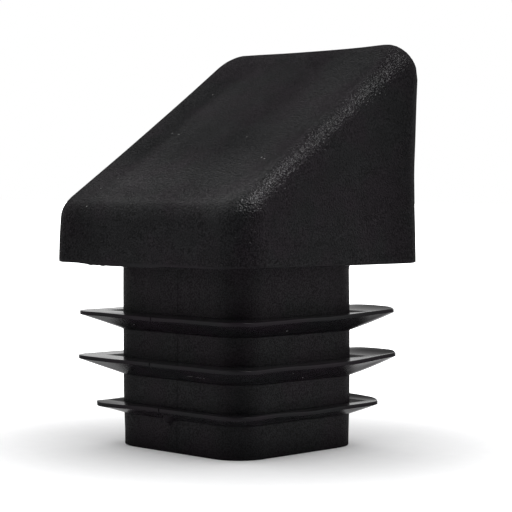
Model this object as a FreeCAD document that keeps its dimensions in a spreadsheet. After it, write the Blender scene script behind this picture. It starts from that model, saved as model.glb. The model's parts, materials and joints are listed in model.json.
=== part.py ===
import FreeCAD, Part
import math
import os
import Sketcher

# Square tube end cap with a sloped head, moulded in one piece. All lengths are millimetres.
# The cap stands on the open end of its plug: the origin is the middle of that end, +Z runs up
# the plug into the head, the low wall of the head faces -Y and the cap is symmetric about
# the YZ plane.

SIZES = (
    ("head_side", 25.0, "side of the square head, the same as the outside of the tube"),
    ("head_corner", 3.0, "radius of the head's upright corners"),
    ("head_front", 5.15, "height of the head's low wall, up to the plane of the slope"),
    ("slope_angle", 34.2, "angle of the slope above the level, in degrees"),
    ("slope_edge", 1.95, "radius round the slope's rim"),
    ("tube_wall", 2.0, "wall of the tube that the plug goes into"),
    ("plug_length", 16.95, "from the plug's open end to the shoulder under the head"),
    ("plug_gap", 2.2, "space between the plug's walls and the inside of the tube"),
    ("plug_corner", 3.2, "radius of the plug's upright corners"),
    ("plug_wall", 2.0, "wall of the hollow plug"),
    ("roof", 2.4, "material between the hollow and the slope"),
    ("hollow_corner", 1.0, "radius of the hollow's upright corners"),
    ("hollow_edge", 0.6, "radius round the top of the hollow"),
    ("fin_height", 4.1, "from the plug's open end to the top of the lead fin"),
    ("fin_pitch", 4.18, "from the top of one fin to the top of the next"),
    ("fin_corner", 2.2, "radius of the fins' corners, seen from above"),
    ("fin_rim", 0.33, "thickness of a fin at its edge"),
    ("fin_root", 1.69, "thickness of a full fin where it leaves the plug"),
    ("lead_root", 1.1, "thickness of the lead fin where it leaves the plug"),
    ("lead_gap", 0.7, "space left between the lead fin and the inside of the tube"),
    ("middle_grip", 0.45, "how far the middle fin stands into the tube's wall before it bends"),
    ("upper_grip", 0.35, "how far the upper fin stands into the tube's wall before it bends"),
)

# Sides of the squares that are nested in one another, as formulas on the sheet.
BORE = "(Sizes.head_side - 2 * Sizes.tube_wall)"
PLUG = f"({BORE} - 2 * Sizes.plug_gap)"
HOLLOW = f"({PLUG} - 2 * Sizes.plug_wall)"

# The three fins from the open end upwards: name, side of the square and thickness at the plug.
FINS = (
    ("Lead", f"({BORE} - 2 * Sizes.lead_gap)", "Sizes.lead_root"),
    ("Middle", f"({BORE} + 2 * Sizes.middle_grip)", "Sizes.fin_root"),
    ("Upper", f"({BORE} + 2 * Sizes.upper_grip)", "Sizes.fin_root"),
)

SMALL = 1e-4  # two places closer than this are the same place


def make_sheet(doc):
    """The driving dimensions, one row each: alias, value and what it measures."""
    sheet = doc.addObject("Spreadsheet::Sheet", "Sizes")
    for row, (alias, value, meaning) in enumerate(SIZES, start=1):
        sheet.set(f"A{row}", alias)
        sheet.set(f"B{row}", str(value))
        sheet.set(f"C{row}", meaning)
        sheet.setAlias(f"B{row}", alias)
    doc.recompute()
    return sheet


def number(owner, formula):
    """What a formula on the sheet comes to, as a plain number."""
    return float(owner.evalExpression(formula))


def plane_sketch(body, role, name):
    """An empty sketch on one of the body's own origin planes."""
    plane = next(part for part in body.Origin.OriginFeatures if part.Role == role)
    sketch = body.newObject("Sketcher::SketchObject", name)
    sketch.AttachmentSupport = [(plane, "")]
    sketch.MapMode = "FlatFace"
    return sketch


def bind(sketch, constraint, label, formula):
    """Adds a dimension to a sketch and ties it to the sheet."""
    sketch.addConstraint(constraint)
    sketch.renameConstraint(sketch.ConstraintCount - 1, label)
    sketch.setExpression(f"Constraints.{label}", formula)


def rounded_square(body, name, side, corner, level):
    """A square with rounded corners about the Z axis, at a level above the open end."""
    sketch = plane_sketch(body, "XY_Plane", name)
    sketch.setExpression("AttachmentOffset.Base.z", level)
    half = number(sketch, side) / 2
    radius = number(sketch, corner)
    inner = half - radius
    up = FreeCAD.Vector(0, 0, 1)
    # Each turn is a quarter: a side of the square, then the arc that ends it.
    for quarter in range(4):
        turn = FreeCAD.Rotation(up, 90 * quarter)
        start = turn.multVec(FreeCAD.Vector(half, -inner, 0))
        end = turn.multVec(FreeCAD.Vector(half, inner, 0))
        centre = turn.multVec(FreeCAD.Vector(inner, inner, 0))
        circle = Part.Circle(centre, up, radius)
        first = math.radians(90 * quarter)
        sketch.addGeometry(Part.LineSegment(start, end))
        sketch.addGeometry(Part.ArcOfCircle(circle, first, first + math.pi / 2))
    for quarter in range(4):
        line = 2 * quarter
        arc = line + 1
        following = (line + 2) % 8
        sketch.addConstraint(Sketcher.Constraint("Tangent", line, 2, arc, 1))
        sketch.addConstraint(Sketcher.Constraint("Tangent", arc, 2, following, 1))
        upright = "Vertical" if quarter % 2 == 0 else "Horizontal"
        sketch.addConstraint(Sketcher.Constraint(upright, line))
    for arc in (3, 5, 7):
        sketch.addConstraint(Sketcher.Constraint("Equal", 1, arc))
    # The centres of two opposite corners lie evenly about the origin.
    sketch.addConstraint(Sketcher.Constraint("Symmetric", 1, 3, 5, 3, -1, 1))
    bind(sketch, Sketcher.Constraint("DistanceX", 4, 2, 0, 1, 2 * half), "side", side)
    bind(sketch, Sketcher.Constraint("DistanceY", 6, 2, 2, 1, 2 * half), "depth", side)
    bind(sketch, Sketcher.Constraint("Radius", 1, radius), "corner", corner)
    return sketch


def side_outline(body, name, corners):
    """A closed outline of straight lines in the YZ plane; each corner is a (y, z) formula pair."""
    sketch = plane_sketch(body, "YZ_Plane", name)
    points = [FreeCAD.Vector(number(sketch, y), number(sketch, z), 0) for y, z in corners]
    for index, point in enumerate(points):
        sketch.addGeometry(Part.LineSegment(point, points[(index + 1) % len(points)]))
    for index, (y, z) in enumerate(corners):
        following = (index + 1) % len(corners)
        sketch.addConstraint(Sketcher.Constraint("Coincident", index, 2, following, 1))
        bind(sketch, Sketcher.Constraint("DistanceX", -1, 1, index, 1, points[index].x), f"y{index}", y)
        bind(sketch, Sketcher.Constraint("DistanceY", -1, 1, index, 1, points[index].y), f"z{index}", z)
    return sketch


def across(body, kind, name, sketch, width):
    """A pad or pocket of a side outline, evenly to both sides of the YZ plane."""
    feature = body.newObject(kind, name)
    feature.Profile = sketch
    feature.SideType = "Symmetric"
    feature.setExpression("Length", width)
    return feature


def slope_line(side):
    """Heights of the slope's plane over the low and the high side of a centred square."""
    slope = "tan(Sizes.slope_angle * 1 deg)"
    middle = f"(Sizes.plug_length + Sizes.head_front + Sizes.head_side / 2 * {slope})"
    return f"{middle} - {side} / 2 * {slope}", f"{middle} + {side} / 2 * {slope}"


def upright_edges(shape, side):
    """Names of the upright edges at the corners of a centred square."""
    names = []
    for index, edge in enumerate(shape.Edges, start=1):
        box = edge.BoundBox
        slim = box.XLength < SMALL and box.YLength < SMALL
        middle = box.Center
        if slim and abs(abs(middle.x) - side / 2) < SMALL and abs(abs(middle.y) - side / 2) < SMALL:
            names.append(f"Edge{index}")
    return names


def rim_edges(shape, normal):
    """Names of the edges round the flat faces whose outward normal is the one given."""
    rims = []
    for face in shape.Faces:
        if face.Surface.TypeId == "Part::GeomPlane" and face.normalAt(0, 0).isEqual(normal, SMALL):
            rims.extend(face.Edges)
    return [
        f"Edge{index}"
        for index, edge in enumerate(shape.Edges, start=1)
        if any(edge.isSame(rim) for rim in rims)
    ]


def fillet(body, name, base, edges, radius):
    """Rounds the named edges of a feature."""
    feature = body.newObject("PartDesign::Fillet", name)
    feature.Base = (base, edges)
    feature.setExpression("Radius", radius)
    body.Document.recompute()
    return feature


def slope_normal(owner):
    """The outward normal of the sloped face: up, and leaning towards the low wall."""
    angle = number(owner, "Sizes.slope_angle")
    return FreeCAD.Rotation(FreeCAD.Vector(1, 0, 0), angle).multVec(FreeCAD.Vector(0, 0, 1))


def make_plug(body):
    """The square plug below the head, solid for now."""
    pad = body.newObject("PartDesign::Pad", "Plug")
    pad.Profile = rounded_square(body, "PlugSquare", PLUG, "Sizes.plug_corner", "0")
    pad.setExpression("Length", "Sizes.plug_length")
    body.Document.recompute()


def make_head(body):
    """The wedge-shaped head on the plug, with round upright corners and a round slope rim."""
    half = "Sizes.head_side / 2"
    low, high = slope_line("Sizes.head_side")
    outline = side_outline(body, "HeadOutline", (
        (f"-{half}", "Sizes.plug_length"),
        (half, "Sizes.plug_length"),
        (half, high),
        (f"-{half}", low),
    ))
    head = across(body, "PartDesign::Pad", "Head", outline, "Sizes.head_side")
    body.Document.recompute()
    uprights = upright_edges(head.Shape, number(head, "Sizes.head_side"))
    rounded = fillet(body, "HeadCorners", head, uprights, "Sizes.head_corner")
    rim = rim_edges(rounded.Shape, slope_normal(rounded))
    fillet(body, "SlopeRim", rounded, rim, "Sizes.slope_edge")


def make_fin(body, name, side, root, top):
    """A thin fin round the plug: flat on top, sloping underneath from its edge to the plug."""
    reach = f"(({side} - {PLUG}) / 2)"
    # The sloping underside starts in the middle of the plug's wall, so that it meets the wall's
    # outside along a clean line at the thickness given for it.
    sink = "(Sizes.plug_wall / 2)"
    drop = f"({root} + ({root} - Sizes.fin_rim) * {sink} / {reach})"
    inner_side = f"({PLUG} - 2 * {sink})"
    inner_corner = f"(Sizes.plug_corner + (Sizes.plug_corner - Sizes.fin_corner) * {sink} / {reach})"
    inner = rounded_square(body, f"{name}FinInner", inner_side, inner_corner, f"{top} - {drop}")
    edge = rounded_square(body, f"{name}FinEdge", side, "Sizes.fin_corner", f"{top} - Sizes.fin_rim")
    flare = body.newObject("PartDesign::AdditiveLoft", f"{name}FinFlare")
    flare.Profile = inner
    flare.Sections = [edge]
    flare.Ruled = True
    body.Document.recompute()
    rim = body.newObject("PartDesign::Pad", f"{name}FinRim")
    rim.Profile = edge
    rim.setExpression("Length", "Sizes.fin_rim")
    body.Document.recompute()


def make_hollow(body):
    """The hollow from the plug's open end up into the head, with a roof parallel to the slope."""
    half = f"{HOLLOW} / 2"
    low, high = slope_line(HOLLOW)
    roof = "Sizes.roof / cos(Sizes.slope_angle * 1 deg)"
    outline = side_outline(body, "HollowOutline", (
        (f"-{half}", "0"),
        (half, "0"),
        (half, f"{high} - {roof}"),
        (f"-{half}", f"{low} - {roof}"),
    ))
    full = body.Tip.Shape.Volume
    hollow = across(body, "PartDesign::Pocket", "Hollow", outline, HOLLOW)
    body.Document.recompute()
    if hollow.Shape.Volume > full - SMALL:
        raise RuntimeError("the hollow took nothing out of the cap")
    uprights = upright_edges(hollow.Shape, number(hollow, HOLLOW))
    rounded = fillet(body, "HollowCorners", hollow, uprights, "Sizes.hollow_corner")
    rim = rim_edges(rounded.Shape, slope_normal(rounded).negative())
    fillet(body, "HollowRim", rounded, rim, "Sizes.hollow_edge")


def make_end_cap(doc):
    """The whole cap as one body."""
    body = doc.addObject("PartDesign::Body", "EndCap")
    body.Label = "end_cap"
    make_plug(body)
    make_head(body)
    for step, (name, side, root) in enumerate(FINS):
        make_fin(body, name, side, root, f"(Sizes.fin_height + {step} * Sizes.fin_pitch)")
    make_hollow(body)
    return body


def check(doc, parts):
    """Stops if a feature failed or a part is not one sound solid."""
    for item in doc.Objects:
        if "Invalid" in item.State or "Error" in item.State:
            raise RuntimeError(f"{item.Label} failed: {item.State}")
    for part in parts:
        shape = part.Shape
        if shape.isNull() or not shape.isValid() or len(shape.Solids) != 1:
            raise RuntimeError(f"{part.Label} is not one sound solid")


def main():
    doc = FreeCAD.newDocument("TubeEndCap")
    make_sheet(doc)
    parts = [make_end_cap(doc)]
    doc.recompute()
    check(doc, parts)
    os.makedirs("parts", exist_ok=True)
    for part in parts:
        part.Shape.exportStep(f"parts/{part.Label}.step")
        box = part.Shape.BoundBox
        print(part.Label, "volume", round(part.Shape.Volume, 1), "mm3, box", box)


main()
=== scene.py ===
"""Looks of a square tube end cap: one black polyethylene moulding with a sloped head
and a hollow plug with three fins, its moulding marks and a little dust, on a pale floor."""

import json
import math
import random

import bmesh
import bpy
from bpy.props import FloatProperty, FloatVectorProperty, IntProperty, PointerProperty
from mathutils import Matrix, Quaternion, Vector, noise
from mathutils.bvhtree import BVHTree


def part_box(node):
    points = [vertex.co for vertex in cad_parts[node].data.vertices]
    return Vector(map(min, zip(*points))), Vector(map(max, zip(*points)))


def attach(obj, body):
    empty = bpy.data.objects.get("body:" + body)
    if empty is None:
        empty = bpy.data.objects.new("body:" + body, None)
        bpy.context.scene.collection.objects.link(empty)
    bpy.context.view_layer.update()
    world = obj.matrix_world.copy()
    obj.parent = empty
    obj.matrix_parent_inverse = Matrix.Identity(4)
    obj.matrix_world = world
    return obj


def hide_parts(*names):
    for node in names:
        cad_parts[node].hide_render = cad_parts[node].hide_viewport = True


bl_info = {
    "name": "Square Tube End Cap",
    "version": (1, 0, 0),
    "blender": (4, 5, 0),
    "location": "View3D > Sidebar > End Cap",
    "description": "Builds a moulded end cap round its packed solid, with its stage",
    "category": "Object",
}

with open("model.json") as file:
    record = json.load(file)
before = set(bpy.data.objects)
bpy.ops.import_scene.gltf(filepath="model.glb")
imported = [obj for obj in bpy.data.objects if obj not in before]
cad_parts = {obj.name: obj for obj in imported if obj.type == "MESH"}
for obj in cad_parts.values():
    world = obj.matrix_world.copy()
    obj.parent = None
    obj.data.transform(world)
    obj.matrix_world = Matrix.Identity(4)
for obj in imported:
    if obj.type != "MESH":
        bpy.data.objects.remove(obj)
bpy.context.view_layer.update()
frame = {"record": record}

# The frame gives the cap's main planes: its box, the shoulder and the slope.
NODE = "end_cap"
BODY = "root"
MM = 0.001
MOUNTS = {mount["name"]: mount for mount in frame["record"]["mounts"]}
LOW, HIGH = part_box(NODE)
HEAD_HALF = (HIGH.x - LOW.x) / 2
SHOULDER = MOUNTS["tube_shoulder"]["pos_m"][2]
SLOPE_POINT = Vector(MOUNTS["slope_face"]["pos_m"])
SLOPE_NORMAL = Vector(MOUNTS["slope_face"]["axis"]).normalized()
UP = Vector((0, 0, 1))
SAME = 1e-7  # metres: two places closer than this are the same place

WHITE = (1, 1, 1, 1)
BLACK = (0, 0, 0, 1)


def length(name, description, millimetres):
    """A property that holds a length; its default is given in millimetres."""
    return FloatProperty(
        name=name,
        description=description,
        default=millimetres * MM,
        unit="LENGTH",
        subtype="DISTANCE",
    )


def angle(name, description, degrees):
    """A property that holds an angle; its default is given in degrees."""
    return FloatProperty(
        name=name,
        description=description,
        default=math.radians(degrees),
        unit="ROTATION",
        subtype="ANGLE",
    )


def share(name, description, value):
    """A property that holds a plain factor."""
    return FloatProperty(name=name, description=description, default=value)


def colour(name, description, value):
    """A property that holds a linear colour."""
    return FloatVectorProperty(
        name=name, description=description, default=value, size=3, min=0.0, max=1.0, subtype="COLOR"
    )


class CapSizes(bpy.types.PropertyGroup):
    """Sizes of the moulding that its box and mounts don't give."""

    head_corner: length("Head corner", "Radius of the head's upright corners", 3.0)
    slope_edge: length("Slope edge", "Radius round the slope's rim", 1.95)
    shoulder_edge: length("Shoulder edge", "Radius of the head's lower edge", 0.12)
    plug_half: length("Plug half side", "Half the side of the plug", 8.3)
    plug_corner: length("Plug corner", "Radius of the plug's upright corners", 3.2)
    mouth_edge: length("Mouth edge", "Radius of the edges round the open end", 0.12)
    hollow_half: length("Hollow half side", "Half the side of the hollow", 6.3)
    hollow_corner: length("Hollow corner", "Radius of the hollow's upright corners", 1.0)
    hollow_edge: length("Hollow edge", "Radius round the top of the hollow", 0.6)
    roof: length("Roof", "Material between the hollow and the slope", 2.4)
    fin_height: length("Lead fin height", "From the open end to the top of the lead fin", 4.1)
    fin_pitch: length("Fin pitch", "From the top of one fin to the top of the next", 4.18)
    lead_half: length("Lead fin half side", "Half the side of the lead fin", 9.8)
    middle_half: length("Middle fin half side", "Half the side of the middle fin", 10.95)
    upper_half: length("Upper fin half side", "Half the side of the upper fin", 10.85)
    fin_corner: length("Fin corner", "Radius of the fins' corners", 2.2)
    fin_rim: length("Fin rim", "Thickness of a fin at its edge", 0.33)
    fin_round: length("Fin rounding", "Radius of the top edge of a fin's rim", 0.06)
    fin_root: length("Fin root", "Thickness of a full fin at the plug", 1.69)
    lead_root: length("Lead fin root", "Thickness of the lead fin at the plug", 1.1)
    corner_steps: IntProperty(name="Corner steps", description="Segments in a corner", default=12)
    side_steps: IntProperty(name="Side steps", description="Segments along a side", default=48)


class CapMarks(bpy.types.PropertyGroup):
    """How far the moulding strays from its true shape."""

    slope_sink: length("Slope sink", "How deep the slope has sunk as it cooled", 0.25)
    wall_sink: length("Wall sink", "How far the head's walls have drawn in", 0.2)
    edge_sag: length("Edge sag", "How far the slope's left edge has sagged", 0.17)
    wall_lean: length("Wall lean", "How far the low side draws in at the near corner", 0.3)
    seam_side: length("Seam place", "Where the seam of the mould lies across the plug", 0.6)
    seam_width: length("Seam width", "Width of the seam line", 0.1)
    seam_depth: length("Seam depth", "Depth of the seam line", 0.06)
    nick_side: length("Nick place", "Where the mould's halves met on the fins' rims", -0.25)
    nick_depth: length("Nick depth", "Depth of the nick in each fin's rim", 0.12)
    flash_drop: length("Flash", "How far the flash hangs from the head's lower edge", 0.2)
    lump_out: length("Lump", "How far a lump of flash stands out under the lead fin", 0.22)
    lump_drop: length("Lump drop", "How far that lump hangs down", 0.38)
    fin_reach: length("Fin reach", "How far the fins' right-hand corners reach out", 0.15)
    fin_ripple: length("Fin ripple", "How far the fins' edges ripple up and down", 0.03)
    brim_lift: length("Brim lift", "How far the head's lower edge rises on the right", 0.1)


class CapFinish(bpy.types.PropertyGroup):
    """Colour and texture of the plastic, the dust and the stage."""

    plastic: colour("Plastic", "Colour of the black polyethylene", (0.0124, 0.0098, 0.0124))
    plastic_cool: colour("Cooler plastic", "Its colour in cooler patches", (0.0106, 0.0106, 0.0116))
    patches: length("Patches", "Size of the warmer and cooler patches", 5.0)
    mottling: length("Mottling", "Size of the plastic's lighter and darker places", 1.6)
    specks: length("Specks", "Size of the finest specks in the plastic", 0.11)
    gloss: share("Gloss", "Share of the surface that is left glossy by its texture", 0.14)
    head_grain: length("Head grain", "Size of the pits in the head's eroded texture", 0.17)
    head_pits: length("Head pits", "Height of the head's eroded texture", 0.12)
    facet_pitch: length("Facet pitch", "Distance between the glossy facets of the head", 0.24)
    plug_grain: length("Plug grain", "Size of the finer texture on the plug", 0.12)
    plug_pits: length("Plug pits", "Height of the plug's texture", 0.03)
    dust: colour("Dust", "Colour of the dust on the cap", (0.27, 0.27, 0.265))
    floor: colour("Floor", "Colour of the floor", (0.82, 0.82, 0.825))


class CapStage(bpy.types.PropertyGroup):
    """Camera, overhead lamp and room."""

    azimuth: angle("Azimuth", "Direction the camera looks from, round the cap", 44.2)
    elevation: angle("Elevation", "Height of the camera above the level", 2.065)
    distance: length("Distance", "From the camera to the point it aims at", 157.2)
    aim_across: length("Aim across", "How far right of the cap's middle the camera aims", 1.667)
    aim_height: length("Aim height", "Height of the point that the camera aims at", 17.572)
    lens: share("Lens", "Focal length in millimetres on a 36 mm sensor", 118.7)
    roll: angle("Roll", "How far the camera is turned about its own axis", 0.407)
    overhead: share("Overhead lamp", "Radiance of the overhead lamp", 42.0)
    overhead_side: length("Overhead size", "Side of the overhead lamp", 190.0)
    overhead_across: length("Overhead across", "Place of the overhead lamp along X", 215.0)
    overhead_forth: length("Overhead forth", "Place of the overhead lamp along Y", 40.0)
    overhead_height: length("Overhead height", "Height of the overhead lamp", 450.0)
    overhead_aim: length("Overhead aim", "Height of the point that the lamp is aimed at", 20.0)
    walls: share("Walls", "Radiance of the room's side walls", 1.7)
    right_gain: share("Right gain", "How much brighter the right-hand wall is", 0.36)
    backdrop: share("Backdrop", "Share of the walls' light that the backdrop gives", 0.1)
    ceiling: share("Ceiling", "Radiance of the ceiling", 1.5)
    gap: share("Gap", "Radiance of the dark side that the camera stands on", 0.0)


GROUPS = {
    "cap_sizes": CapSizes,
    "cap_marks": CapMarks,
    "cap_finish": CapFinish,
    "cap_stage": CapStage,
}


# Arithmetic on shader sockets

class Wire:
    """A shader's output socket; arithmetic on it adds Math nodes to its tree."""

    def __init__(self, maker, socket):
        self.maker = maker
        self.socket = socket

    def __add__(self, other):
        return self.maker.maths("ADD", self, other)

    def __sub__(self, other):
        return self.maker.maths("SUBTRACT", self, other)

    def __rsub__(self, other):
        return self.maker.maths("SUBTRACT", other, self)

    def __mul__(self, other):
        return self.maker.maths("MULTIPLY", self, other)

    def __neg__(self):
        return self.maker.maths("SUBTRACT", 0, self)

    def __abs__(self):
        return self.maker.maths("ABSOLUTE", self, 0)

    __radd__ = __add__
    __rmul__ = __mul__


class Maker:
    """Adds nodes to one material's or world's tree."""

    def __init__(self, owner):
        owner.use_nodes = True
        self.tree = owner.node_tree
        self.tree.nodes.clear()

    def node(self, kind, settings=None, sockets=None):
        """A node of a kind: its settings come first, then its sockets' values or wires."""
        made = self.tree.nodes.new(kind)
        for name, value in (settings or {}).items():
            setattr(made, name, value)
        for name, value in (sockets or {}).items():
            if isinstance(value, Wire):
                self.tree.links.new(value.socket, made.inputs[name])
            else:
                made.inputs[name].default_value = value
        return made

    def wire(self, kind, output, settings=None, sockets=None):
        """A node's output, ready for arithmetic."""
        return Wire(self, self.node(kind, settings, sockets).outputs[output])

    def maths(self, operation, first, second):
        """A Math node's result."""
        return self.wire("ShaderNodeMath", 0, {"operation": operation}, {0: first, 1: second})

    def dot(self, first, direction):
        """How far a vector points in a direction."""
        sockets = {0: first, 1: direction}
        return self.wire("ShaderNodeVectorMath", 1, {"operation": "DOT_PRODUCT"}, sockets)

    def step(self, value, low, high, to_low=0.0, to_high=1.0):
        """A smooth step of a value from low to high."""
        return self.wire(
            "ShaderNodeMapRange",
            0,
            {"interpolation_type": "SMOOTHSTEP"},
            {"Value": value, 1: low, 2: high, 3: to_low, 4: to_high},
        )

    def noise(self, place, size, detail=2.0, roughness=0.5):
        """Noise from 0 to 1 whose lumps are about the given size."""
        sockets = {"Vector": place, "Scale": 1 / size, "Detail": detail, "Roughness": roughness}
        return self.wire("ShaderNodeTexNoise", 0, None, sockets)

    def blend(self, factor, first, second):
        """A mix of two colours."""
        sockets = {0: factor, 6: first, 7: second}
        return self.wire("ShaderNodeMix", 2, {"data_type": "RGBA"}, sockets)

    def seen(self):
        """1 in what the camera sees, also through clear things, and 0 in all other light."""
        camera = self.wire("ShaderNodeLightPath", "Is Camera Ray")
        return camera + self.wire("ShaderNodeLightPath", "Is Transmission Ray")


def rgba(value, factor=1.0):
    """A colour property as four numbers, lightened by a factor."""
    return (*(part * factor for part in value), 1.0)


def slope_polish(maker, place, across, forth):
    """A factor on the gloss, 1 off the slope.

    On the slope the texture is flatter towards its low and right edges and in a streak left
    of its middle. It is sharper in a stripe right of its middle and towards the top.
    """
    below = SLOPE_POINT.dot(SLOPE_NORMAL) - maker.dot(place, SLOPE_NORMAL)
    slope = maker.step(below, 0.45 * MM, 1.3 * MM, 1.0, 0.0)
    low_edge = maker.step(forth, -9.5 * MM, -3.5 * MM, 1.0, 0.0)
    right_edge = maker.step(across, 3.5 * MM, 9.5 * MM)
    streak = maker.step(abs(across + 5.2 * MM), 0.0, 3.0 * MM, 1.0, 0.0)
    stripe = maker.step(abs(across - 2.4 * MM), 0.0, 3.2 * MM, 1.0, 0.0)
    top = maker.step(forth, 0.0, 6.0 * MM)
    flatter = low_edge * 0.68 + right_edge * 0.3 + streak * 0.12
    sharper = stripe * 0.14 + top * 0.06
    polish = 0.62 + flatter - sharper
    return 1 + (polish - 1) * slope


def painted_shade(maker, across, forth, height, head):
    """Painted shade: how far colour and gloss are darkened near two of the upright corners, with a
    painted shadow towards the foot.
    """
    corner = abs((across + forth) * math.sqrt(0.5))
    on_head = maker.step(corner, 9.5 * MM, 17.5 * MM) * head * 0.38
    on_plug = maker.step(corner, 8.0 * MM, 11.5 * MM) * (1 - head) * 0.2
    foot = maker.step(height, 0.0, 2.8 * MM, 1.0, 0.0) * 0.45
    return 1 - (1 - on_head - on_plug) * (1 - foot)


def plastic_material(finish, sizes):
    """Black polyethylene: eroded matte texture on the head, satin on the plug and fins.

    The texture leaves small glossy facets in a dull surface, so the two are mixed. Seen at
    a low angle the head shows less gloss, and the smooth fins show more.
    """
    material = bpy.data.materials.new("black_polyethylene")
    maker = Maker(material)
    place = maker.wire("ShaderNodeTexCoord", "Object")
    parts = maker.node("ShaderNodeSeparateXYZ", None, {0: place})
    across, forth, height = (Wire(maker, output) for output in parts.outputs)

    # Where the head is, and where the fins are
    head = maker.step(height, SHOULDER + 0.05 * MM, SHOULDER + 0.35 * MM)
    out = maker.maths("MAXIMUM", abs(across), abs(forth)) - sizes.plug_half
    fins = maker.step(out, 0.1 * MM, 0.5 * MM) * (1 - head)

    # Patterns
    grain = maker.noise(place, finish.head_grain, 1.5)
    spots = {"Vector": place, "Scale": 1 / finish.facet_pitch}
    facet = maker.wire("ShaderNodeTexVoronoi", 0, None, spots)
    satin = maker.noise(place, finish.plug_grain)
    mottle = maker.noise(place, finish.mottling, 3.0, 0.6)
    patch = maker.step(maker.noise(place, finish.patches), 0.38, 0.62)
    speck = maker.step(maker.noise(place, finish.specks, 1.0), 0.3, 0.7)

    # Relief
    pits = (grain + facet * 0.3) * (finish.head_pits / MM)
    fine = (satin + speck * 0.4) * (finish.plug_pits / MM)
    relief = pits * head + fine * (1 - head) * (1 - fins * 0.9)
    ridges = {"Strength": 1.0, "Distance": MM, "Height": relief}
    bump = maker.wire("ShaderNodeBump", 0, None, ridges)

    # Colour
    tint = maker.blend(patch, rgba(finish.plastic), rgba(finish.plastic_cool))
    tone = maker.step(mottle * 0.4 + satin * 0.2 + speck * 0.4, 0.26, 0.7)
    uneven = maker.blend(tone, BLACK, tint)
    evened = maker.blend(0.6 - head * 0.3 + fins * 0.35, uneven, tint)
    # Painted shade near two upright corners and a painted shadow towards the foot darken the
    # colour.
    painted_shade_share = painted_shade(maker, across, forth, height, head)
    shade = maker.blend(painted_shade_share, evened, BLACK)

    # Gloss
    rough = 0.13 + (mottle - 0.5) * 0.08 + (1 - head) * 0.16 - fins * 0.08
    facets = finish.gloss * (1 + (speck - 0.5) * (1.1 - fins)) * (1.2 - head * 0.2)
    # The same painted shade and shadow dim the gloss as well.
    polished = facets * slope_polish(maker, place, across, forth) * (1 - painted_shade_share)
    facing = maker.wire("ShaderNodeLayerWeight", "Facing", None, {"Blend": 0.5})
    graze = maker.step(facing, 0.66, 0.92)
    gloss = polished * (1 - graze * head * 0.8) + graze * fins * 0.85

    sockets = {"Base Color": shade, "Roughness": rough, "Normal": bump, "IOR": 1.5}
    dull, glossy = (
        maker.wire("ShaderNodeBsdfPrincipled", 0, None, {**sockets, "Specular IOR Level": level})
        for level in (0.0, 0.4)
    )
    surface = maker.wire("ShaderNodeMixShader", 0, None, {0: gloss, 1: dull, 2: glossy})
    maker.node("ShaderNodeOutputMaterial", None, {"Surface": surface})
    return material


def dust_material(finish):
    """Pale lint and dust."""
    material = bpy.data.materials.new("dust")
    maker = Maker(material)
    place = maker.wire("ShaderNodeTexCoord", "Object")
    fleck = maker.noise(place, 0.05 * MM)
    shade = maker.blend(fleck, rgba(finish.dust, 0.7), rgba(finish.dust, 1.2))
    rough = 0.85 + (fleck - 0.5) * 0.2
    sockets = {"Base Color": shade, "Roughness": rough}
    surface = maker.wire("ShaderNodeBsdfPrincipled", 0, None, sockets)
    maker.node("ShaderNodeOutputMaterial", None, {"Surface": surface})
    return material


def floor_material(finish):
    """A pale floor that turns white away from the cap, for the camera only."""
    material = bpy.data.materials.new("floor")
    maker = Maker(material)
    place = maker.wire("ShaderNodeTexCoord", "Object")
    paper = maker.noise(place, 1.5 * MM)
    shade = maker.blend(paper, rgba(finish.floor, 0.98), rgba(finish.floor, 1.02))
    away = maker.wire("ShaderNodeVectorMath", 1, {"operation": "LENGTH"}, {0: place})
    glow = maker.step(away, 14 * MM, 60 * MM) * maker.seen()
    matte = maker.wire("ShaderNodeBsdfDiffuse", 0, None, {"Color": shade})
    white = maker.wire("ShaderNodeEmission", 0, None, {"Color": glow})
    total = maker.wire("ShaderNodeAddShader", 0, None, {0: matte, 1: white})
    maker.node("ShaderNodeOutputMaterial", None, {"Surface": total})
    return material


# The moulding's skin, ring by ring

def held(value):
    """A value held between 0 and 1."""
    return min(1.0, max(0.0, value))


def smooth(value, low, high):
    """Rises smoothly from 0 at low to 1 at high."""
    part = held((value - low) / (high - low))
    return part * part * (3 - 2 * part)


def bump_at(value, middle, width):
    """A smooth bump of height 1 about a middle."""
    return math.exp(-(((value - middle) / width) ** 2))


def in_plan(core, turn, half, corner):
    """Where a ring's vertex lies in plan on a square of the given half side and corner."""
    return core * (half - corner) + turn * corner


def slope_height(plan, depth=0.0):
    """Height of the slope's plane, or of one this deep below it, over a place in plan."""
    point = SLOPE_POINT - SLOPE_NORMAL * depth
    return point.z - (plan.y - point.y) * SLOPE_NORMAL.y / SLOPE_NORMAL.z


def level_ring(half, corner, height):
    """A level ring."""
    def place(core, turn):
        return in_plan(core, turn, half, corner).to_3d() + UP * height
    return place


def between(first, second, part):
    """A ring part of the way from one ring to another."""
    def place(core, turn):
        return first(core, turn).lerp(second(core, turn), part)
    return place


def shrunk(ring, centre, part):
    """A ring drawn in towards a centre."""
    def place(core, turn):
        return centre.lerp(ring(core, turn), part)
    return place


def edge_ring(half, corner, depth, radius, part):
    """A ring on the round edge between an upright wall and a plane this deep below the slope.

    A ball of the edge's radius rolls under the plane and inside the wall. Part 0 is its touch
    on the wall and part 1 its touch on the plane.
    """
    def place(core, turn):
        middle = in_plan(core, turn, half, corner) - turn * radius
        centre = Vector((middle.x, middle.y, slope_height(middle, depth + radius)))
        wall = turn.to_3d()
        spread = wall.angle(SLOPE_NORMAL)
        on_wall = wall * math.sin((1 - part) * spread)
        on_plane = SLOPE_NORMAL * math.sin(part * spread)
        return centre + (on_wall + on_plane) * (radius / math.sin(spread))
    return place


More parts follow.
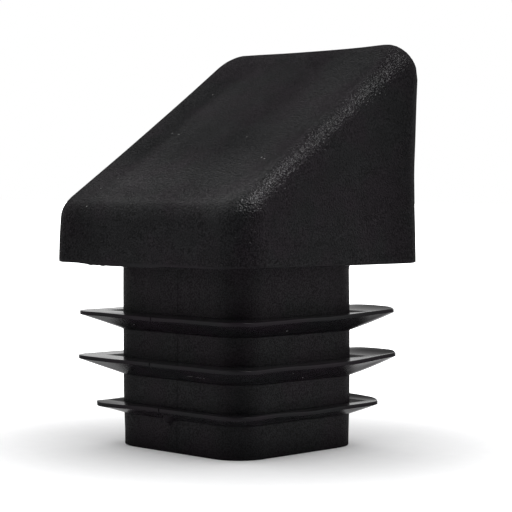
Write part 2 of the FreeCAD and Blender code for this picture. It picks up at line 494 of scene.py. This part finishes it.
class Skin:
    """A closed skin grown from one rounded square by extruding its edges again and again.

    Each vertex keeps two values: core, its place on the square through the centres of the
    corners, and turn, the direction in which it stands out from there.
    """

    def __init__(self, sizes):
        self.mesh = bmesh.new()
        self.core = self.mesh.verts.layers.float_vector.new("core")
        self.turn = self.mesh.verts.layers.float_vector.new("turn")
        half = HEAD_HALF
        corner = sizes.head_corner
        bmesh.ops.create_grid(self.mesh, x_segments=1, y_segments=1, size=half)
        bmesh.ops.bevel(
            self.mesh,
            geom=self.mesh.verts[:],
            offset=corner,
            segments=sizes.corner_steps,
            profile=0.5,
            affect="VERTICES",
            material=-1,
        )
        bmesh.ops.delete(self.mesh, geom=self.mesh.faces[:], context="FACES_ONLY")
        sides = [edge for edge in self.mesh.edges if edge.calc_length() > half]
        bmesh.ops.subdivide_edges(self.mesh, edges=sides, cuts=sizes.side_steps - 1)
        inner = half - corner
        for vert in self.mesh.verts:
            core = Vector((max(-inner, min(inner, part)) for part in vert.co.xy))
            vert[self.core] = (core / inner).to_3d()
            vert[self.turn] = (vert.co.xy - core).normalized().to_3d()
        self.ring = self.mesh.edges[:]

    def lay(self, verts, place):
        """Puts vertices where a ring has them."""
        for vert in verts:
            vert.co = place(vert[self.core].xy, vert[self.turn].xy)

    def start(self, place):
        """Puts the first ring in its place and closes it with a face."""
        self.lay(self.mesh.verts, place)
        bmesh.ops.contextual_create(self.mesh, geom=self.ring)

    def grow(self, *places):
        """Extrudes the last ring to each place in turn."""
        for place in places:
            made = bmesh.ops.extrude_edge_only(self.mesh, edges=self.ring)["geom"]
            verts = {part for part in made if isinstance(part, bmesh.types.BMVert)}
            self.ring = [
                part
                for part in made
                if isinstance(part, bmesh.types.BMEdge) and set(part.verts) <= verts
            ]
            self.lay(verts, place)

    def run(self, first, second, parts):
        """Grows rings at the given parts of the way from one ring to another."""
        self.grow(*(between(first, second, part) for part in parts))

    def close(self):
        """Closes the skin with a face over the last ring."""
        bmesh.ops.contextual_create(self.mesh, geom=self.ring)


def evenly(count):
    """Parts of the way from just past 0 to 1, in even steps."""
    return [step / count for step in range(1, count + 1)]


def round_edge(skin, half, corner, height, radius, first, last, inwards=False):
    """Rounds a level edge; first and last are the angles above the level that it runs through."""
    steps = 3
    hand = -1 if inwards else 1
    for step in range(steps + 1):
        turn = math.radians(first + (last - first) * step / steps)
        out = radius * (1 - math.cos(turn)) * hand
        rise = radius * math.sin(turn)
        skin.grow(level_ring(half - out, max(corner - out, radius), height + rise))


def grow_hollow(skin, sizes):
    """The hollow from the middle of its roof down to the open end."""
    half = sizes.hollow_half
    corner = sizes.hollow_corner
    edge = sizes.hollow_edge
    roof = edge_ring(half, corner, sizes.roof, edge, 1)
    centre = SLOPE_POINT - UP * (sizes.roof / SLOPE_NORMAL.z)
    first, *others = (0.06, 0.2, 0.35, 0.5, 0.65, 0.8, 0.9, 1.0)
    skin.start(shrunk(roof, centre, first))
    skin.grow(*(shrunk(roof, centre, part) for part in others))
    skin.grow(*(edge_ring(half, corner, sizes.roof, edge, 1 - part) for part in evenly(4)))
    top = edge_ring(half, corner, sizes.roof, edge, 0)
    mouth = level_ring(half, corner, sizes.mouth_edge)
    skin.run(top, mouth, evenly(10))
    round_edge(skin, half, corner, sizes.mouth_edge, sizes.mouth_edge, 0, -90, inwards=True)


# Parts of the way across a fin's face, closer together at its root and rim.
ACROSS_FIN = (0.06, 0.25, 0.5, 0.75, 0.94, 1.0)


def grow_fin(skin, sizes, top, half, root):
    """One fin: sloping underside, thin rim, flat top back to the plug."""
    wall = (sizes.plug_half, sizes.plug_corner)
    radius = sizes.fin_round
    below = level_ring(*wall, top - root)
    lip = level_ring(half, sizes.fin_corner, top - sizes.fin_rim)
    edge = level_ring(half, sizes.fin_corner, top - radius)
    skin.grow(below)
    skin.run(below, lip, ACROSS_FIN)
    skin.run(lip, edge, [0.5])
    round_edge(skin, half, sizes.fin_corner, top - radius, radius, 0, 90)
    crest = level_ring(half - radius, sizes.fin_corner - radius, top)
    skin.run(crest, level_ring(*wall, top), ACROSS_FIN)


def grow_plug(skin, sizes):
    """The plug's outside with its fins, from the open end up to the shoulder."""
    half = sizes.plug_half
    corner = sizes.plug_corner
    edge = sizes.mouth_edge
    round_edge(skin, half, corner, edge, edge, -90, 0)
    foot = edge
    fins = (
        (sizes.lead_half, sizes.lead_root),
        (sizes.middle_half, sizes.fin_root),
        (sizes.upper_half, sizes.fin_root),
    )
    for step, (fin_half, root) in enumerate(fins):
        top = sizes.fin_height + step * sizes.fin_pitch
        below = level_ring(half, corner, foot)
        skin.run(below, level_ring(half, corner, top - root), evenly(6)[:-1])
        grow_fin(skin, sizes, top, fin_half, root)
        foot = top
    below = level_ring(half, corner, foot)
    skin.run(below, level_ring(half, corner, SHOULDER), evenly(8))


def grow_head(skin, sizes):
    """The head from the plug's root out over the shoulder, up the walls and over the slope."""
    half = HEAD_HALF
    corner = sizes.head_corner
    radius = sizes.shoulder_edge
    root = level_ring(sizes.plug_half, sizes.plug_corner, SHOULDER)
    brim = level_ring(half - radius, corner - radius, SHOULDER)
    skin.run(root, brim, evenly(5)[:-1])
    round_edge(skin, half, corner, SHOULDER + radius, radius, -90, 0)
    foot = level_ring(half, corner, SHOULDER + radius)
    top = edge_ring(half, corner, 0, sizes.slope_edge, 0)
    skin.run(foot, top, [0.02, 0.06, *evenly(16)])
    skin.grow(*(edge_ring(half, corner, 0, sizes.slope_edge, part) for part in evenly(10)))
    rim = edge_ring(half, corner, 0, sizes.slope_edge, 1)
    steps = 26
    for step in range(1, steps):
        skin.grow(shrunk(rim, SLOPE_POINT, 1 - step / steps))
    skin.close()


# The cuts for a line that is pushed in, in its widths from its middle: the inner two are
# pushed in and the outer two stay.
LINE_CUTS = (-0.7, -0.2, 0.2, 0.7)
INNER_CUTS = 0.3


def cut_across(mesh, places):
    """Cuts the low side of the plug where it is about to be marked, across its width."""
    for across in places:
        faces = [
            face
            for face in mesh.faces
            if face.calc_center_median().z < SHOULDER and face.calc_center_median().y < 0
        ]
        geometry = {part for face in faces for part in (face, *face.edges, *face.verts)}
        bmesh.ops.bisect_plane(
            mesh,
            geom=list(geometry),
            dist=SAME,
            plane_co=(across, 0, 0),
            plane_no=(1, 0, 0),
        )


# How each fin's edge has bent: fin number from the open end, direction round the cap in
# degrees, how wide the bend is in degrees and how far the edge has risen or dropped, in
# millimetres.
FIN_BENDS = (
    (0, -135, 20, -0.22),
    (0, -30, 12, 0.09),
    (0, 0, 14, -0.08),
    (0, 45, 16, 0.10),
    (0, 64, 14, 0.33),
    (0, 135, 30, -0.12),
    (1, -135, 16, 0.02),
    (1, -25, 14, 0.07),
    (1, 45, 16, 0.44),
    (1, 64, 14, 0.40),
    (1, 120, 25, -0.10),
    (2, -135, 16, -0.02),
    (2, -90, 30, -0.14),
    (2, -45, 16, -0.10),
    (2, 25, 14, 0.10),
    (2, 45, 16, 0.32),
    (2, 64, 14, 0.36),
    (2, 150, 35, 0.08),
)

# How far two of the upright corners stand out from their true place, in millimetres, at
# heights in millimetres: the corner on the left of the camera and the one on its right.
LEFT_CORNER = (
    (1, 0.05),
    (5, 0.20),
    (14, 0.29),
    (16.9, 0.30),
    (17.0, 0.22),
    (19.5, 0.16),
    (21.5, 0.04),
    (23.0, -0.03),
)
RIGHT_CORNER = (
    (1, 0.03),
    (4, 0.09),
    (8, 0.08),
    (13, 0.01),
    (16.9, -0.07),
    (17.0, 0.13),
    (20.0, 0.05),
    (22.5, -0.04),
    (25.5, -0.11),
    (28.5, -0.03),
    (32, 0.04),
    (34.5, 0.12),
    (35.2, -0.05),
    (36, -0.28),
    (37, -0.5),
)
CORNER_DRIFTS = (((-1, -1), LEFT_CORNER), ((1, 1), RIGHT_CORNER))


def along(profile, value):
    """A value read off a line of (place, amount) pairs."""
    for (low, first), (high, last) in zip(profile, profile[1:]):
        if value <= high:
            part = held((value - low) / (high - low))
            return first + (last - first) * part
    return profile[-1][1]


def slope_sink(point, sizes, marks):
    """Sinks the slope over the thick walls, as the moulding does when it cools."""
    below = (SLOPE_POINT - point).dot(SLOPE_NORMAL)
    weight = 1 - smooth(below, 0.3 * MM, 2.2 * MM)
    if weight <= 0:
        return Vector()
    across = point.x / HEAD_HALF
    forth = point.y / HEAD_HALF
    far = (abs(across) ** 4 + abs(forth) ** 4) ** 0.25
    trough = bump_at(far, 0.70, 0.14)
    dish = 1 - smooth(far, 0.74, 0.97)
    depth = marks.slope_sink * (0.4 * trough + 0.6 * dish)
    return SLOPE_NORMAL * (-depth * weight)


def edge_sag(point, sizes, marks):
    """Lets the slope's left edge sag in its middle."""
    below = (SLOPE_POINT - point).dot(SLOPE_NORMAL)
    weight = 1 - smooth(below, 1.0 * MM, 4.0 * MM)
    side = smooth(-point.x, 0.5 * HEAD_HALF, 0.9 * HEAD_HALF)
    forth = point.y / HEAD_HALF
    middle = max(0.0, 1 - forth ** 2) + 0.35 * (1 - forth)
    return UP * (-marks.edge_sag * weight * side * middle)


def wall_sink(point, sizes, marks):
    """Draws the head's walls in between its edges."""
    out = max(abs(point.x), abs(point.y))
    if point.z < SHOULDER + SAME or out < HEAD_HALF - 0.5 * MM:
        return Vector()
    top = slope_height(point.xy)
    rise = (point.z - SHOULDER) / max(top - SHOULDER, MM)
    arch = math.sin(math.pi * held(rise))
    least = min(abs(point.x), abs(point.y)) / HEAD_HALF
    level = max(0.0, 1 - (least / 0.78) ** 4)
    inwards = Vector((-point.x, 0, 0)) if abs(point.x) > abs(point.y) else Vector((0, -point.y, 0))
    return inwards.normalized() * (marks.wall_sink * arch * level)


def corner_drift(point, sizes, marks):
    """Moves the upright corners out or in."""
    plan = point.xy
    if plan.length < 0.6 * sizes.plug_half:
        return Vector()
    total = Vector()
    for corner, profile in CORNER_DRIFTS:
        towards = Vector(corner).normalized()
        near = max(0.0, towards.dot(plan.normalized())) ** 8
        depth = smooth(plan.length, 0.9 * sizes.plug_half, 1.2 * sizes.plug_half)
        total += towards.to_3d() * (along(profile, point.z / MM) * MM * near * depth)
    return total


def brim_lift(point, sizes, marks):
    """Lifts the head's lower edge a little along the right side."""
    if point.z < SHOULDER - 0.01 * MM:
        return Vector()
    low = 1 - smooth(point.z - SHOULDER, 0.2 * MM, 2.0 * MM)
    out = smooth(point.x, 9.0 * MM, 12.0 * MM)
    return UP * (marks.brim_lift * low * out)


def wall_lean(point, sizes, marks):
    """Draws the low side in towards the right, so that the near corner lies further round."""
    across = (point.x / HEAD_HALF + 1) / 2
    forth = max(0.0, -point.y / HEAD_HALF)
    return Vector((0, marks.wall_lean * across * forth, 0))


def fin_bend(point, sizes, marks):
    """Bends the fins' edges up and down a little and draws out the right-hand corner."""
    out = max(abs(point.x), abs(point.y)) - sizes.plug_half
    if out <= SAME or point.z > SHOULDER - MM or point.z < MM:
        return Vector()
    # A fin hangs below its top, so it takes more of the height below than above.
    fin = round((point.z - sizes.fin_height) / sizes.fin_pitch + 0.1)
    heading = math.degrees(math.atan2(point.y, point.x))
    bending = sizes.lead_half - sizes.plug_half if fin == 0 else 2.5 * MM
    part = min(1.0, out / bending)
    rise = 0.0
    for number, towards, width, amount in FIN_BENDS:
        if number == fin:
            apart = (heading - towards + 180) % 360 - 180
            rise += amount * MM * bump_at(apart, 0, width)
    ripple = marks.fin_ripple * noise.noise(Vector((point.x, point.y, 9 * fin)) * 260)
    reach = marks.fin_reach * bump_at(heading, 45, 18) * part
    return UP * ((rise + ripple) * part ** 1.6) + Vector((1, 1, 0)).normalized() * reach


def seam(point, sizes, marks):
    """The thin line of the mould's seam down the plug, and the nicks in the fins' rims."""
    if point.y > 0 or point.z > SHOULDER - 0.01 * MM:
        return Vector()
    out = -point.y - sizes.plug_half
    reach = INNER_CUTS * marks.seam_width
    depth = 0.0
    if abs(out) < 0.05 * MM and point.z > sizes.mouth_edge:
        if abs(point.x - marks.seam_side) < reach:
            depth = marks.seam_depth
    elif out > 0.9 * MM and abs(point.x - marks.nick_side) < reach:
        lead = point.z < sizes.fin_height + 0.5 * MM
        rim = (sizes.lead_half if lead else sizes.upper_half) - sizes.plug_half
        depth = marks.nick_depth * smooth(out, rim - 0.5 * MM, rim - 0.15 * MM)
    return Vector((0, depth, 0))


def head_flash(point, sizes, marks):
    """Ragged flash under the head's lower edge, on the left of the low wall."""
    if abs(point.z - SHOULDER) > 0.03 * MM or point.y > 0:
        return Vector()
    out = max(abs(point.x), abs(point.y))
    edge = smooth(out, HEAD_HALF - 0.6 * MM, HEAD_HALF - 0.15 * MM)
    start = smooth(point.x, -8.4 * MM, -5.8 * MM)
    where = start * (1 - smooth(point.x, 1.2 * MM, 3.4 * MM))
    rag = 0.8 + 0.5 * noise.noise(Vector((point.x, 0, 0)) * 1800)
    return UP * (-marks.flash_drop * edge * where * max(0.0, rag))


def fin_flash(point, sizes, marks):
    """A lump of flash that hangs in the corner under the lead fin."""
    if point.y > 0 or abs(point.y + sizes.plug_half) > 0.6 * MM or point.z > 3.6 * MM:
        return Vector()
    lump = bump_at(point.x, -0.3 * MM, 0.45 * MM) * bump_at(point.z, 3.1 * MM, 0.45 * MM)
    return Vector((0, -marks.lump_out, -marks.lump_drop)) * lump


# Each is worked out from where a vertex lay before any of them.
MOVES = (
    seam,
    head_flash,
    fin_flash,
    fin_bend,
    slope_sink,
    edge_sag,
    wall_sink,
    wall_lean,
    brim_lift,
    corner_drift,
)


def to_object(mesh, name, material):
    """Turns a finished mesh into an object at the origin, in its material."""
    bmesh.ops.recalc_face_normals(mesh, faces=mesh.faces[:])
    data = bpy.data.meshes.new(name)
    mesh.to_mesh(data)
    mesh.free()
    data.materials.append(material)
    piece = bpy.data.objects.new(name, data)
    bpy.context.scene.collection.objects.link(piece)
    return piece


class CAP_OT_moulding(bpy.types.Operator):
    """Builds the cap itself: head, hollow plug and fins in one skin"""

    bl_idname = "cap.moulding"
    bl_label = "Moulding"

    # Edges that turn more than this stay sharp.
    SHARP = math.radians(50)

    def execute(self, context):
        sizes = context.scene.cap_sizes
        marks = context.scene.cap_marks
        finish = context.scene.cap_finish
        skin = Skin(sizes)
        grow_hollow(skin, sizes)
        grow_plug(skin, sizes)
        grow_head(skin, sizes)
        mesh = skin.mesh
        width = marks.seam_width
        cuts = [
            place + part * width
            for place in (marks.seam_side, marks.nick_side)
            for part in LINE_CUTS
        ]
        cut_across(mesh, cuts)
        for vert in mesh.verts:
            point = vert.co.copy()
            for move in MOVES:
                vert.co += move(point, sizes, marks)
            # Nothing reaches past the solid's box.
            vert.co = Vector(
                max(low, min(high, part)) for low, high, part in zip(LOW, HIGH, vert.co)
            )
        bmesh.ops.remove_doubles(mesh, verts=mesh.verts[:], dist=SAME)
        layers = mesh.verts.layers.float_vector
        for name in ("core", "turn"):
            layers.remove(layers[name])
        piece = to_object(mesh, "moulding", plastic_material(finish, sizes))
        piece.data.shade_smooth()
        piece.data.set_sharp_from_angle(angle=self.SHARP)
        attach(piece, BODY)
        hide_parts(NODE)
        return {"FINISHED"}


class CAP_OT_dust(bpy.types.Operator):
    """Lays specks of dust and lint on the cap"""

    bl_idname = "cap.dust"
    bl_label = "Dust"

    # Each speck: its place, its length, its width and its turn on the surface, in
    # millimetres and degrees. The long thin ones are lint.
    SPECKS = (
        ((-7.6, 4.0, 33.0), 0.16, 0.12, 20),
        ((-5.8, -2.2, 28.9), 0.15, 0.11, 80),
        ((-7.0, -1.9, 29.0), 0.22, 0.09, 50),
        ((-8.2, -9.8, 23.8), 0.15, 0.12, 0),
        ((-7.4, -12.1, 22.1), 0.16, 0.12, 30),
        ((-7.6, -8.2, 24.7), 0.12, 0.10, 10),
        ((8.2, -5.4, 26.5), 0.20, 0.12, 70),
        ((8.7, -5.6, 26.4), 0.16, 0.12, 40),
        ((3.8, -2.8, 28.5), 0.13, 0.11, 0),
        ((9.3, -3.2, 11.3), 0.18, 0.14, 0),
        ((9.1, -0.9, 7.0), 0.18, 0.13, 0),
        ((10.3, -3.4, 7.6), 0.10, 0.09, 0),
        ((-3.7, -9.6, 11.4), 0.14, 0.10, 0),
        ((3.6, -9.5, 7.3), 1.10, 0.03, 8),
        ((4.6, -9.4, 7.2), 0.80, 0.03, 175),
        ((5.2, -9.4, 7.1), 0.40, 0.03, 80),
    )
    # The other sides get some more, laid at random: how many, then the least and most of
    # their direction round the cap in degrees, their height, their length and their width
    # as a share of it. Each drops from this far out onto the nearest face.
    SEED = 7
    MORE = 14
    HEADINGS = (20, 200)
    HEIGHTS = (4, 34)
    LENGTHS = (0.08, 0.16)
    WIDTHS = (0.5, 0.9)
    FAR_OUT = 14
    # How thick a speck is, as a share of its width
    THICKNESS = 0.4

    def execute(self, context):
        finish = context.scene.cap_finish
        moulding = bpy.data.objects["moulding"]
        skin = bmesh.new()
        skin.from_mesh(moulding.data)
        tree = BVHTree.FromBMesh(skin)
        chance = random.Random(self.SEED)
        specks = list(self.SPECKS)
        for _ in range(self.MORE):
            heading = math.radians(chance.uniform(*self.HEADINGS))
            out = Vector((math.cos(heading), math.sin(heading))) * self.FAR_OUT
            place = (out.x, out.y, chance.uniform(*self.HEIGHTS))
            long = chance.uniform(*self.LENGTHS)
            wide = long * chance.uniform(*self.WIDTHS)
            specks.append((place, long, wide, chance.uniform(0, 180)))
        mesh = bmesh.new()
        for place, long, wide, turn in specks:
            spot, normal, _, _ = tree.find_nearest(Vector(place) * MM)
            shape = Matrix.Diagonal((long * MM, wide * MM, self.THICKNESS * wide * MM, 1))
            lie = normal.to_track_quat("Z", "Y").to_matrix().to_4x4()
            spin = Matrix.Rotation(math.radians(turn), 4, "Z")
            matrix = Matrix.Translation(spot) @ lie @ spin @ shape
            bmesh.ops.create_icosphere(mesh, subdivisions=1, radius=0.5, matrix=matrix)
        skin.free()
        piece = to_object(mesh, "dust", dust_material(finish))
        piece.data.shade_smooth()
        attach(piece, BODY)
        return {"FINISHED"}


SENSOR_WIDTH = 36  # millimetres
NEAREST_SEEN = 0.01  # metres from the camera
FARTHEST_SEEN = 20  # metres
FLOOR_HALF = 4.0  # metres: half the floor's side


def view_direction(stage):
    """From the cap towards the camera."""
    level = math.cos(stage.elevation)
    return Vector((
        math.sin(stage.azimuth) * level,
        -math.cos(stage.azimuth) * level,
        math.sin(stage.elevation),
    ))


def make_camera(stage):
    """A camera that looks across the cap at its aim."""
    across = Vector((math.cos(stage.azimuth), math.sin(stage.azimuth), 0))
    aim = across * stage.aim_across + UP * stage.aim_height
    back = view_direction(stage)
    data = bpy.data.cameras.new("camera")
    data.lens = stage.lens
    data.sensor_width = SENSOR_WIDTH
    data.clip_start = NEAREST_SEEN
    data.clip_end = FARTHEST_SEEN
    camera = bpy.data.objects.new("camera", data)
    camera.location = aim + back * stage.distance
    turn = (-back).to_track_quat("-Z", "Y") @ Quaternion((0, 0, 1), stage.roll)
    camera.rotation_euler = turn.to_euler()
    bpy.context.scene.collection.objects.link(camera)
    bpy.context.scene.camera = camera


def make_lamp(name, place, towards, side, radiance):
    """A square lamp of the given radiance, aimed at a point, that gives only glints."""
    data = bpy.data.lights.new(name, "AREA")
    data.shape = "SQUARE"
    data.size = side
    data.energy = radiance * math.pi * side * side
    lamp = bpy.data.objects.new(name, data)
    lamp.location = place
    lamp.rotation_euler = (towards - place).to_track_quat("-Z", "Y").to_euler()
    lamp.visible_diffuse = False
    bpy.context.scene.collection.objects.link(lamp)


def make_world(stage):
    """White to the camera; to the cap, a bright room that is dark on the camera's side.

    Glossy reflections also see white low down behind the cap.
    """
    world = bpy.data.worlds.new("studio")
    bpy.context.scene.world = world
    maker = Maker(world)
    heading = maker.wire("ShaderNodeTexCoord", "Generated")
    towards = Vector((math.sin(stage.azimuth), -math.cos(stage.azimuth), 0))
    front = maker.dot(heading, towards)
    right = maker.dot(heading, towards.cross(-UP))
    rise = maker.dot(heading, UP)
    sides = stage.walls + right * stage.right_gain
    walls = sides * maker.step(-front, 0.0, 0.65, 1.0, stage.backdrop)
    above = maker.step(rise, 0.0, 0.6)
    dome = walls * (1 - above) + above * stage.ceiling * (0.85 + rise * 0.25)
    gap = maker.step(front, 0.35, 1.0)
    room = dome * (1 - gap) + gap * stage.gap
    seen = maker.seen()
    low = maker.step(rise, 0.12, 0.32, 1.0, 0.0)
    behind = maker.step(-front, 0.3, 0.8)
    shine = maker.wire("ShaderNodeLightPath", "Is Glossy Ray") * low * behind
    strength = room * (1 - seen - shine) + seen + shine
    sky = maker.wire("ShaderNodeBackground", 0, None, {"Color": WHITE, "Strength": strength})
    maker.node("ShaderNodeOutputWorld", None, {"Surface": sky})


class CAP_OT_stage(bpy.types.Operator):
    """Sets the floor, the overhead lamp, the room and the camera"""

    bl_idname = "cap.stage"
    bl_label = "Stage"

    def execute(self, context):
        stage = context.scene.cap_stage
        mesh = bmesh.new()
        bmesh.ops.create_grid(mesh, x_segments=1, y_segments=1, size=FLOOR_HALF)
        floor = to_object(mesh, "floor", floor_material(context.scene.cap_finish))
        # Its one face may come out facing down.
        if floor.data.polygons[0].normal.z < 0:
            floor.data.flip_normals()
        make_camera(stage)
        above = Vector((stage.overhead_across, stage.overhead_forth, stage.overhead_height))
        aim = UP * stage.overhead_aim
        make_lamp("overhead", above, aim, stage.overhead_side, stage.overhead)
        make_world(stage)
        context.scene.view_settings.view_transform = "Standard"
        return {"FINISHED"}


class CAP_PT_panel(bpy.types.Panel):
    """The cap's sizes, finish and buttons"""

    bl_label = "End Cap"
    bl_idname = "CAP_PT_panel"
    bl_space_type = "VIEW_3D"
    bl_region_type = "UI"
    bl_category = "End Cap"

    def draw(self, context):
        for name, group in GROUPS.items():
            box = self.layout.box()
            box.label(text=group.__name__)
            for prop in group.__annotations__:
                box.prop(getattr(context.scene, name), prop)
        for operator in OPERATORS:
            self.layout.operator(operator.bl_idname)


OPERATORS = (CAP_OT_moulding, CAP_OT_dust, CAP_OT_stage)
CLASSES = (*GROUPS.values(), *OPERATORS, CAP_PT_panel)


def register():
    for item in CLASSES:
        bpy.utils.register_class(item)
    for name, group in GROUPS.items():
        setattr(bpy.types.Scene, name, PointerProperty(type=group))


def unregister():
    for name in GROUPS:
        delattr(bpy.types.Scene, name)
    for item in reversed(CLASSES):
        bpy.utils.unregister_class(item)


def main():
    register()
    bpy.ops.cap.stage()
    bpy.ops.cap.moulding()
    bpy.ops.cap.dust()


if __name__ == "__main__":
    main()
